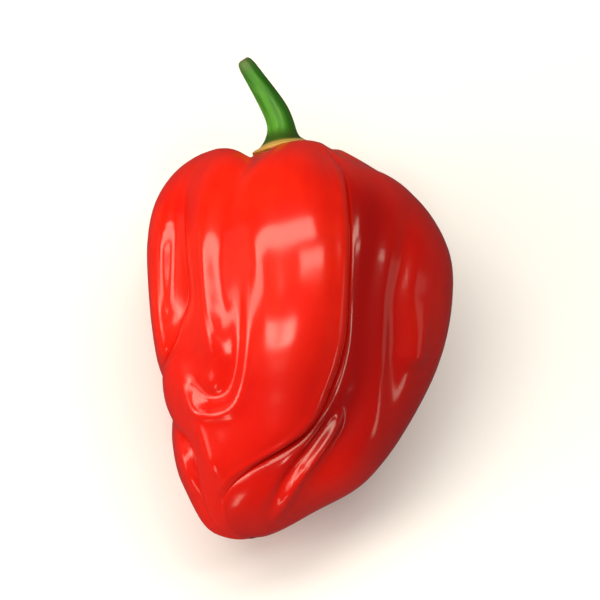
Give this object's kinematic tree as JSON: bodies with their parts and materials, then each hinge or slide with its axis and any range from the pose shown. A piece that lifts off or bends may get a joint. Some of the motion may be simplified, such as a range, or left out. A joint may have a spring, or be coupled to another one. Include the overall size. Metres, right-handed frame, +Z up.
{
  "type": "scotch bonnet pepper",
  "caption": "Ripe red scotch bonnet pepper, as picked: a squat pod with deep overlapping folds and a bent blunt tip, its small green calyx and curved stem on top, lying on its side",
  "frame": {"origin": "middle of the bounding box at its lowest level, on the surface that the pepper lies on", "axes": "+Z up; +Y along the pod towards the stem; +X across it, to the right as seen from above with the stem away"},
  "size_m": [0.0458, 0.0724, 0.0423],
  "materials": {
    "pod_skin": "waxy gloss red pepper skin",
    "stem_skin": "satin green stem and calyx"
  },
  "bodies": {
    "root": {"pod": "pod_skin", "stem_calyx": "stem_skin"}
  },
  "joints": []
}
